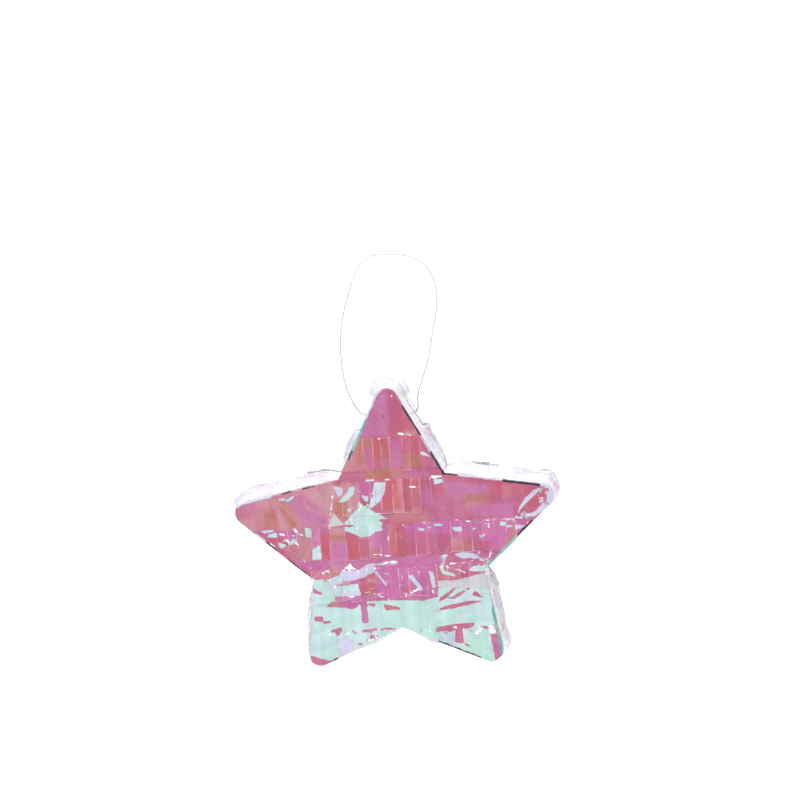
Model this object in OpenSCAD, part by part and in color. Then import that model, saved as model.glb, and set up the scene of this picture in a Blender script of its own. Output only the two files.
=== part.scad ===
// Star pinata: a hollow card star covered in fringed iridescent film, hung from a nylon loop.
// Frame: origin at the top of the hanging loop, +X to the right, +Z up, front face towards -Y.

/* [Star] */
// Reach of the top point, from the star's centre to its rounded end
top_reach = 81.5; // [70:0.5:110]
// Reach of the two side points
arm_reach = 84; // [70:0.5:115]
// Reach of the right foot
right_leg_reach = 77; // [68:0.5:110]
// Reach of the left foot, cut a little shorter
left_leg_reach = 74; // [68:0.5:110]
// Lean of the right arm from its even place, counterclockwise seen from the front
right_arm_lean = -1.3; // [-3:0.1:3]
// Lean of the right foot
right_foot_lean = 2.6; // [-3:0.1:3]
// Lean of the left foot
left_foot_lean = -3; // [-3:0.1:3]
// Lean of the left arm
left_arm_lean = 1.3; // [-3:0.1:3]
// Reach of the four inner corners beside the two side points
valley_reach = 45.5; // [38:0.5:56]
// Reach of the inner corner between the two feet
crotch_reach = 41; // [36:0.5:52]
// Rounding radius at the end of every point
tip_round = 5.5; // [4:0.25:8]
// Depth between the outer faces of the front and back panels
depth = 46; // [34:1:70]

/* [Card] */
// Thickness of the front and back panels and of the filling flap
panel_t = 1.5; // [1:0.1:2.5]
// Thickness of the folded side walls
wall_t = 1.2; // [0.8:0.1:1.8]
// Width of the glue flanges folded inwards from the side walls
flange_w = 6; // [4:0.5:8]
// Length that each inner corner's paper tape covers on either side
tape_reach = 8; // [5:0.5:12]
// Thickness of the paper tape
tape_t = 0.3; // [0.2:0.05:0.5]

/* [Filling flap] */
// Width of the port cut in the back panel
port_w = 44; // [30:1:52]
// Height of the port
port_h = 36; // [26:1:40]
// Height of the port's top edge above the star's centre
port_top = 16; // [10:1:20]
// Radius of the port's two lower corners
port_round = 7; // [4:0.5:10]
// Cut left free round the flap
kerf = 0.4; // [0.3:0.05:0.8]

/* [Film] */
// Thickness of the solids that stand for the film
film_t = 0.4; // [0.3:0.05:0.6]
// Gap between one row of film and the next
row_gap = 0.2; // [0.1:0.05:0.5]
// Height above the star's centre at which each row of film ends and the next one shows
row_ends = [40, 17.5, -4.5, -26];
// Half the width of the second row, which hangs between the two upper inner corners
second_row_reach = 26; // [20:0.5:30]
// Film left clear round the port
window_margin = 1; // [0.8:0.1:2]

/* [Hanger] */
// Height of the two cord holes above the star's centre
hole_height = 66; // [60:0.5:68]
// Diameter of the nylon cord
cord_d = 1; // [0.8:0.1:1.2]
// Radial clearance of the cord in its holes
cord_clearance = 0.4; // [0.3:0.05:0.8]
// Radius of the card washer glued round each hole, inside the top point
washer_r = 4.5; // [3:0.25:5]
// Thickness of the washer
washer_t = 0.8; // [0.5:0.1:1.2]
// Radius of each stopper knot
knot_r = 1.9; // [1.6:0.1:2.2]
// Length of each stopper knot
knot_len = 3.6; // [3:0.1:4]
// Length of the cord's cut tail beyond each knot
tail_len = 2; // [1:0.5:3]
// Drop from the top of the loop to the star's centre
hang_drop = 148; // [146:0.5:150]

/* [Hidden] */

// Points of the star, numbered clockwise from the top one
points = 5;
step_angle = 360 / points;
reaches = [top_reach, arm_reach, right_leg_reach, left_leg_reach, arm_reach];
leans = [0, right_arm_lean, right_foot_lean, left_foot_lean, left_arm_lean];
// Reach of the inner corner that follows each point
valley_reaches = [valley_reach, valley_reach, crotch_reach, valley_reach, valley_reach];
names = ["top", "right_arm", "right_foot", "left_foot", "left_arm"];
tip_steps = 10;
corner_steps = 6;
beyond = 200; // past every edge of the star

wall_depth = depth - 2 * panel_t;
hole_r = cord_d / 2 + cord_clearance;
port_bottom = port_top - port_h;
row_levels = concat([beyond], row_ends, [-beyond]);
flange_start = 12; // from where the rounded end begins to the flange
flange_stop = 8;   // from the flange to the inner corner
flange_chamfer = 3;
flange_root = 0.4; // how deep the flange starts in the wall
flap_film_inset = 1;

// Middle line of the cord from knot to knot as [x, z], level with the holes at both ends
cord_route = [
  [8, -82], [11.4, -82], [13, -81.6], [14.2, -80.5], [14.6, -78.8], [14.6, -76.6], [15, -73],
  [16.6, -68], [19.1, -62], [21.4, -55.5], [23.2, -48], [25, -40.5], [27.2, -31], [28.2, -23], [27.6, -16.5],
  [25.4, -10], [21.4, -5], [15.5, -2], [8, -0.4], [0, 0], [-5, -1], [-10, -4.6], [-14, -11.5],
  [-17.6, -20.5], [-20.6, -30], [-22.6, -40], [-23.2, -50], [-22.8, -60.5], [-21.2, -69],
  [-18.6, -75.6], [-16.4, -79.4], [-14.4, -81.4], [-11.5, -82], [-8, -82]];
cord_ring_spacing = 3;
cord_sides = 8;

card_color = "#e9e4da";
film_pink = "#c9709b";
film_rose = "#cf7f86";
film_mint = "#bfe3d8";
nylon_color = "#f2f2f2";

// ---- Outline of the star, in its own plane as [x, z] about its centre ----

function unit(a) = [cos(a), sin(a)];
function lean(k) = leans[(k + points) % points];
function point_dir(k) = 90 - step_angle * k + lean(k);
// Direction of the inner corner that follows point k
function valley_dir(k) = 90 - step_angle * (k + 0.5);
// Angle from point k's direction to that of the inner corner on that side
function corner_angle(k, side) = step_angle / 2 + side * lean(k);
function reach(k) = reaches[(k + points) % points];
function tip_centre(k) = (reach(k) - tip_round) * unit(point_dir(k));
// Reach of the inner corner beside point k: side 1 is the clockwise one, side -1 the other
function corner_reach(k, side) = valley_reaches[(k + points + (side - 1) / 2) % points];
// From a rounded end's centre to the inner corner beside it, in a frame that stands on the point
function side_vector(k, side) = [
  corner_reach(k, side) * sin(corner_angle(k, side)),
  corner_reach(k, side) * cos(corner_angle(k, side)) - (reach(k) - tip_round)];
// Angle from a point's direction to the outward normal of its edge on that side
function half_turn(k, side) = let (v = side_vector(k, side)) 90 - atan2(v.y, v.x) - acos(tip_round / norm(v));
function edge_length(k, side) = sqrt(pow(norm(side_vector(k, side)), 2) - pow(tip_round, 2));
function edge_normal(k, side) = unit(point_dir(k) - side * half_turn(k, side));
function edge_along(k, side) = unit(point_dir(k) - side * (half_turn(k, side) + 90));
function tip_arc(k, inset) = let (from = half_turn(k, -1), to = -half_turn(k, 1)) [for (j = [0:tip_steps])
  tip_centre(k) + (tip_round - inset) * unit(point_dir(k) + from + (to - from) * j / tip_steps)];
// Inner corner after point k, moved in by inset with both its edges
function valley(k, inset) = let (a = edge_normal(k, 1), b = edge_normal(k + 1, -1))
  corner_reach(k, 1) * unit(valley_dir(k)) - inset * (a + b) / (1 + a * b);
function star_outline(inset) = [for (k = [0:points - 1]) each concat(tip_arc(k, inset), [valley(k, inset)])];
function reversed(v) = [for (i = [len(v) - 1:-1:0]) v[i]];
// Band between two insets, round point k from inner corner to inner corner
function band_outline(k, outer, inner) = concat(
  [valley(k - 1, outer)], tip_arc(k, outer), [valley(k, outer), valley(k, inner)],
  reversed(tip_arc(k, inner)), [valley(k - 1, inner)]);
function arc(centre, r, from, to) = [for (j = [0:corner_steps])
  centre + r * unit(from + (to - from) * j / corner_steps)];
// Port with square upper corners and round lower ones, shrunk by gap all round
function port_outline(gap) = let (
  w = port_w / 2 - gap, top = port_top - gap, bottom = port_bottom + gap, r = port_round - gap)
  concat([[-w, top], [w, top]],
    arc([w - r, bottom + r], r, 0, -90), arc([r - w, bottom + r], r, -90, -180));

// Half the width of the top point, on its outer face, at the height of the holes
hole_x = let (n = edge_normal(0, 1), c = tip_centre(0)) (tip_round - n.y * (hole_height - c.y)) / n.x;

// ---- Helpers ----

// Extrudes a shape in the star's plane to t thick, centred on depth y
module plate(t, y) {
  translate([0, y, -hang_drop]) rotate([90, 0, 0]) linear_extrude(height = t, center = true) children();
}

module cord_drill(r) {
  translate([0, 0, hole_height - hang_drop]) rotate([0, 90, 0])
    cylinder(r = r, h = 2 * hole_x + 10, center = true, $fn = 32);
}

// ---- Card ----

module front_panel() color(card_color) {
  plate(panel_t, -(depth - panel_t) / 2) polygon(star_outline(0));
}

module back_panel() color(card_color) difference() {
  plate(panel_t, (depth - panel_t) / 2) polygon(star_outline(0));
  plate(3 * panel_t, (depth - panel_t) / 2) polygon(port_outline(0));
}

module fill_flap() color(card_color) {
  plate(panel_t, (depth - panel_t) / 2) polygon(port_outline(kerf));
}

// One glue flange along an edge's straight run
module flange(k, side) {
  n = edge_normal(k, side);
  e = edge_along(k, side);
  start = tip_centre(k) + tip_round * n;
  stop = edge_length(k, side) - flange_stop;
  polygon([
    start + flange_start * e - (wall_t - flange_root) * n,
    start + stop * e - (wall_t - flange_root) * n,
    start + (stop - flange_chamfer) * e - (wall_t + flange_w) * n,
    start + (flange_start + flange_chamfer) * e - (wall_t + flange_w) * n]);
}

// Folded strip that closes point k, with its glue flanges
module side_wall(k) color(card_color) difference() {
  union() {
    plate(wall_depth, 0) polygon(band_outline(k, 0, wall_t));
    for (side = [-1, 1], face = [-1, 1])
      plate(wall_t, face * (wall_depth - wall_t) / 2) flange(k, side);
  }
  if (k == 0) cord_drill(hole_r);
}

// Paper tape folded over each inner corner, inside the star
module valley_tapes() color("#d9c7a3") for (k = [0:points - 1]) {
  a = edge_normal(k, 1);
  b = edge_normal(k + 1, -1);
  along_a = tape_reach * edge_along(k, 1);
  along_b = tape_reach * edge_along(k + 1, -1);
  corner = valley(k, wall_t);
  plate(wall_depth - 2 * wall_t - 1, 0) polygon([
    corner - along_a, corner, corner - along_b,
    corner - along_b - tape_t * b, valley(k, wall_t + tape_t), corner - along_a - tape_t * a]);
}

// ---- Film ----

// Block between two heights that reaches past the star, as wide as given
module height_block(low, high, width = 2 * beyond) {
  translate([0, 0, (low + high) / 2 - hang_drop]) cube([width, 2 * beyond, high - low], center = true);
}

// Space of row i. The second row is narrow, and the third reaches up past it over both arms
module row_block(i) {
  low = row_levels[i + 1] + row_gap / 2;
  high = row_levels[i] - row_gap / 2;
  if (i == 1) height_block(low, high, 2 * second_row_reach);
  else if (i == 2) difference() {
    height_block(low, row_levels[i - 1] - row_gap / 2);
    height_block(high, beyond, 2 * (second_row_reach + row_gap));
  }
  else height_block(low, high);
}

module front_film(i) color(i == 4 ? film_mint : film_pink) intersection() {
  plate(film_t, -(depth + film_t) / 2) polygon(star_outline(0));
  row_block(i);
}

module back_film(i) color(i == 4 ? film_mint : film_pink) difference() {
  intersection() {
    plate(film_t, (depth + film_t) / 2) polygon(star_outline(0));
    row_block(i);
  }
  plate(3 * film_t, (depth + film_t) / 2) polygon(port_outline(-window_margin));
}

module flap_film() color(film_pink) {
  plate(film_t, (depth + film_t) / 2) polygon(port_outline(kerf + flap_film_inset));
}

// One row of side film round point k: face -1 is the front row and 1 the rear row
module side_film(k, face) color(face < 0 ? film_rose : film_pink) difference() {
  row_depth = (depth - row_gap) / 2;
  plate(row_depth, face * (row_depth + row_gap) / 2) polygon(band_outline(k, -film_t, 0));
  if (k == 0) cord_drill(hole_r);
}

// ---- Hanger ----

// Card washers glued inside the top point's two flanks, square to them
module hanger_washers() color("#c8b48c") difference() {
  for (side = [-1, 1]) {
    n = edge_normal(0, side);
    middle = [side * hole_x, hole_height] - (wall_t + washer_t / 2) / abs(n.x) * [side, 0];
    translate([middle.x, 0, middle.y - hang_drop]) rotate([0, 90 - atan2(n.y, n.x), 0])
      cylinder(r = washer_r, h = washer_t, center = true, $fn = 48);
  }
  cord_drill(hole_r);
}

// Catmull-Rom point between b and c, at share t of the way
function smooth_point(a, b, c, d, t) = 0.5 * (2 * b + (c - a) * t
  + (2 * a - 5 * b + 4 * c - d) * t * t + (3 * b - a - 3 * c + d) * t * t * t);
function route_point(i) = cord_route[max(0, min(len(cord_route) - 1, i))];
cord_line = concat(
  [for (i = [0:len(cord_route) - 2])
    let (n = max(1, round(norm(cord_route[i + 1] - cord_route[i]) / cord_ring_spacing)))
      for (j = [0:n - 1]) smooth_point(route_point(i - 1), cord_route[i], cord_route[i + 1],
        route_point(i + 2), j / n)],
  [cord_route[len(cord_route) - 1]]);

// Tube of the cord's diameter along its line, which lies in the plane of the holes
module hanger_cord() color(nylon_color) {
  last = len(cord_line) - 1;
  rings = [for (i = [0:last])
    let (along = i == 0 || i == last ? [sign(cord_line[1].x - cord_line[0].x), 0]
        : cord_line[i + 1] - cord_line[i - 1],
      across = [-along.y, along.x] / norm(along))
      for (j = [0:cord_sides - 1]) let (a = 360 * j / cord_sides, p = cord_line[i])
        [p.x + cord_d / 2 * cos(a) * across.x, cord_d / 2 * sin(a), p.y + cord_d / 2 * cos(a) * across.y]];
  sides = [for (i = [0:last - 1], j = [0:cord_sides - 1]) let (
    a = i * cord_sides + j, b = i * cord_sides + (j + 1) % cord_sides)
    each [[a, b, b + cord_sides], [a, b + cord_sides, a + cord_sides]]];
  first_cap = [for (j = [cord_sides - 1:-1:0]) j];
  last_cap = [for (j = [0:cord_sides - 1]) last * cord_sides + j];
  polyhedron(points = rings, faces = concat(sides, [first_cap, last_cap]), convexity = 10);
}

// Barrel knots of three wraps that stop the cord behind the washers, each with its cut tail
module hanger_knots() color(nylon_color) for (side = [-1, 1]) {
  wraps = 3;
  wrap_r = knot_len / wraps / 2;
  translate([side * cord_route[0].x, 0, cord_route[0].y]) rotate([0, -side * 90, 0]) {
    rotate_extrude($fn = 40) polygon(concat([[0, 0]],
      [for (w = [0:wraps - 1], j = [0:4]) let (a = -90 + 45 * j)
        [knot_r - wrap_r + wrap_r * cos(a), (2 * w + 1) * wrap_r + wrap_r * sin(a)]],
      [[0, knot_len]]));
    translate([0, 0, knot_len]) cylinder(d = cord_d, h = tail_len, $fn = 16);
  }
}

// ---- Nodes ----

front_panel();
back_panel();
fill_flap();
valley_tapes();
hanger_washers();
hanger_cord();
hanger_knots();
flap_film();
for (k = [0:points - 1]) {
  side_wall(k);
  side_film(k, -1);
  side_film(k, 1);
  front_film(k);
  back_film(k);
}
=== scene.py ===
import math
import random

import bpy
import numpy as np
from mathutils import Matrix, Vector, noise
from mathutils.geometry import delaunay_2d_cdt


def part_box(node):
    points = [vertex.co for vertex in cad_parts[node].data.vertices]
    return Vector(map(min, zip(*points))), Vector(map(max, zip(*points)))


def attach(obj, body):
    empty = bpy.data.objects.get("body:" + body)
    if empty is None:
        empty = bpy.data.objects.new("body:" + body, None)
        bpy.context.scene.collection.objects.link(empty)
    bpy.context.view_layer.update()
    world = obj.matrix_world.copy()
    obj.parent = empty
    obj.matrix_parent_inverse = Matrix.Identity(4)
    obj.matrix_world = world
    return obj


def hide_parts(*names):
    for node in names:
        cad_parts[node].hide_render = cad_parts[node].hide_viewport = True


# A card star covered in fringed iridescent film, hung from a nylon loop.
# Star-plane places are [x, z] in millimetres about the star's centre, as seen from the front.

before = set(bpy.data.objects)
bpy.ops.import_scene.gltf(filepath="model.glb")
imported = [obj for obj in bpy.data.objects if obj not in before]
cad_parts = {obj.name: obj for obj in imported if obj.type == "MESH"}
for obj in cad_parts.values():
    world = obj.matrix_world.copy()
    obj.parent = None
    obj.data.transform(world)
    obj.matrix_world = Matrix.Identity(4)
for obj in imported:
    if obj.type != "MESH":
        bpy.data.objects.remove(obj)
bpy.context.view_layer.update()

MM = 0.001
CENTRE_Z = -148.0            # the star's centre, below the top of the hanging loop
FRONT_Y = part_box("front_panel")[0].y / MM
BACK_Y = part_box("back_panel")[1].y / MM
POINTS = ["top", "right_arm", "right_foot", "left_foot", "left_arm"]

# ---- Film layout ----
CUT_LINES = [57.5, 35.5, 12.5, -10.0, -43.0]    # heights at which each row's fringe begins
TUCK = 3.0                                      # header hidden under the row above
SPACING = 0.9                                   # between neighbouring mesh points
FILM_T = 0.06                                   # film thickness
LAP = 0.16                                      # how far each tab laps over the next
PAST_STAR = 100.0                               # a distance that is off the star on every side
PORT_MARGIN = 0.4                               # from the flap to the film round it
RIM_SECTION = [(-0.9, 0.42), (-0.2, 0.38), (0.28, 0.1), (0.34, -0.7), (0.3, -1.5)]   # outward, off the face

# Where the front's tabs are cut, across the star, row by row.
FRONT_SLITS = [
    [-19.5, -13.5, -8.5, -4.5, 0, 6.5, 10.5, 15.5, 20],
    [-22, -17.5, -11.5, -6, 0, 5, 9.5, 14, 19.5],
    [-60.5, -55, -50.5, -43.2, -38.6, -33.7, -25.4, -19, -13.4, -8, -4, 0,
     4.5, 10, 15.5, 21, 28, 33.5, 38.5, 44, 50, 56, 61],
    [-44.5, -39, -35, -29.5, -25, -20.5, -16.5, -11.6, -4.5, 0, 5, 10, 14, 19.4, 25, 31, 36, 41],
    [-43, -37.5, -32, -25.5, -19.5, -14, -9, 0, 9, 13.5, 18, 26.5, 31, 37, 44.2],
]

# ---- Side film layout ----
SIDE_HEADER = 6.0                               # uncut band beside each face
SIDE_SPACING = 1.1                              # between neighbouring mesh points
SIDE_TABS = (4.5, 9.0)                          # narrowest and widest tab
SIDE_LIFT = 2.8                                 # how far a tab's end stands off the card
SIDE_EASE = 9.0                                 # it stays close this near an inner corner
TIP_PUFF = {-1: 5.0, 1: 3.8}                    # how much further it stands at the top, front and rear row
HOLE_HEIGHT = 66.0                              # the cord's holes, above the star's centre
HOLE_CLEAR = 8.0                                # it stays close this near a hole's height
HOLE_TABS = 5.0                                 # and tabs this near it stop short of the cord
SAG = 2.6                                       # slack of the front row under the crotch
SAG_AT = 16.0                                   # the middle of that slack, from the crotch
SAG_REACH = 14.0                                # and how far it goes each way


def srgb(red, green, blue, alpha=1.0):
    """Linear colour from 8-bit screen values."""
    linear = [((c / 255 + 0.055) / 1.055) ** 2.4 if c > 10 else c / 3294 for c in (red, green, blue)]
    return (*linear, alpha)


def place(x, y, z):
    """Point in the frame, in metres, from a star-plane place and a depth in millimetres."""
    return Vector((x * MM, y * MM, (z + CENTRE_Z) * MM))


# ---- The star's outline, from the front panel ----

def outline_of(node, y):
    """Outline of a panel's face at depth y, as star-plane points that run clockwise from the top."""
    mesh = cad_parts[node].data
    spot = [tuple(round(c / MM, 3) for c in v.co) for v in mesh.vertices]
    used = {}
    for face in mesh.polygons:
        corners = [spot[i] for i in face.vertices]
        if all(abs(c[1] - y) < 0.01 for c in corners):
            for a, b in zip(corners, corners[1:] + corners[:1]):
                used.setdefault(frozenset((a, b)), []).append((a, b))
    after = {a: b for pairs in used.values() if len(pairs) == 1 for a, b in pairs}
    start = max(after, key=lambda p: (p[2], p[0]))
    loop = [start]
    while after[loop[-1]] != start:
        loop.append(after[loop[-1]])
    points = np.array([(p[0], p[2] - CENTRE_Z) for p in loop])
    return points if points[1][0] > points[0][0] else np.vstack([points[:1], points[:0:-1]])


def resampled(points, step, closed=True):
    """The same line with its points about one step apart, corners kept."""
    ends = np.roll(points, -1, axis=0) if closed else points[1:]
    out = []
    for a, b in zip(points, ends):
        n = max(1, round(float(np.linalg.norm(b - a)) / step))
        out += [a + (b - a) * i / n for i in range(n)]
    if not closed:
        out.append(points[-1])
    return np.array(out)


def inside(points, loop):
    """True for each point within a closed loop."""
    x, z = points[:, 0, None], points[:, 1, None]
    a, b = loop, np.roll(loop, -1, axis=0)
    rise = np.where(b[:, 1] == a[:, 1], 1e-9, b[:, 1] - a[:, 1])
    crosses = (a[:, 1] > z) != (b[:, 1] > z)
    return (crosses & (x < (b[:, 0] - a[:, 0]) * (z - a[:, 1]) / rise + a[:, 0])).sum(1) % 2 == 1


def distance_to(points, line, closed):
    """Distance from each point to a line of straight pieces."""
    a = line if closed else line[:-1]
    b = np.roll(line, -1, axis=0) if closed else line[1:]
    best = np.full(len(points), 1e9)
    for start, end in zip(a, b):
        along = end - start
        share = np.clip((points - start) @ along / max(along @ along, 1e-9), 0, 1)
        best = np.minimum(best, np.linalg.norm(points - start - share[:, None] * along, axis=1))
    return best


def outward(line, along):
    """Unit directions away from the star's middle, square to a line's own directions."""
    out = np.stack([-along[:, 1], along[:, 0]], 1)
    out /= np.linalg.norm(out, axis=1)[:, None]
    return -out if float((out * line).sum()) < 0 else out


OUTLINE = outline_of("front_panel", FRONT_Y)
RIM = resampled(OUTLINE, 1.0)
PORT_LO, PORT_HI = (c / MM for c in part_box("fill_flap"))
PORT = np.array([
    (PORT_LO.x - PORT_MARGIN, PORT_HI.z - CENTRE_Z + PORT_MARGIN),
    (PORT_HI.x + PORT_MARGIN, PORT_HI.z - CENTRE_Z + PORT_MARGIN),
    (PORT_HI.x + PORT_MARGIN, PORT_LO.z - CENTRE_Z - PORT_MARGIN),
    (PORT_LO.x - PORT_MARGIN, PORT_LO.z - CENTRE_Z - PORT_MARGIN)])


def half_span(z, side):
    """Nearest and furthest x of the star from its middle, at a height, on one side."""
    a, b = OUTLINE, np.roll(OUTLINE, -1, axis=0)
    hit = (a[:, 1] > z) != (b[:, 1] > z)
    x = a[hit, 0] + (b[hit, 0] - a[hit, 0]) * (z - a[hit, 1]) / (b[hit, 1] - a[hit, 1])
    x = sorted(abs(v) for v in x if v * side > 0)
    return None if not x else (0.0 if len(x) == 1 else x[0], x[-1])


# ---- Colour patches ----
# Each kind of patch, painted in order, hides what is under it. A tone patch tints the film with one of its
# pinks, from violet to tan, and fades at its edge; the others are crisp and come last. The mint and pale
# patches are painted reflections of the lamps in the film, the white ones painted glints.

TONES = {
    "violet": srgb(181, 108, 159),
    "magenta": srgb(182, 95, 157),
    "pink": srgb(178, 100, 132),
    "rose": srgb(175, 80, 106),
    "pale_rose": srgb(190, 142, 152),
    "salmon": srgb(184, 118, 124),
    "orange": srgb(182, 82, 84),
    "tan": srgb(168, 106, 82),
}
TONE_STEPS = np.array(list(TONES.values()))[:, :3]
KINDS = ["mint", "pale", "grey", "white", "dark", "teal"]

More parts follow.
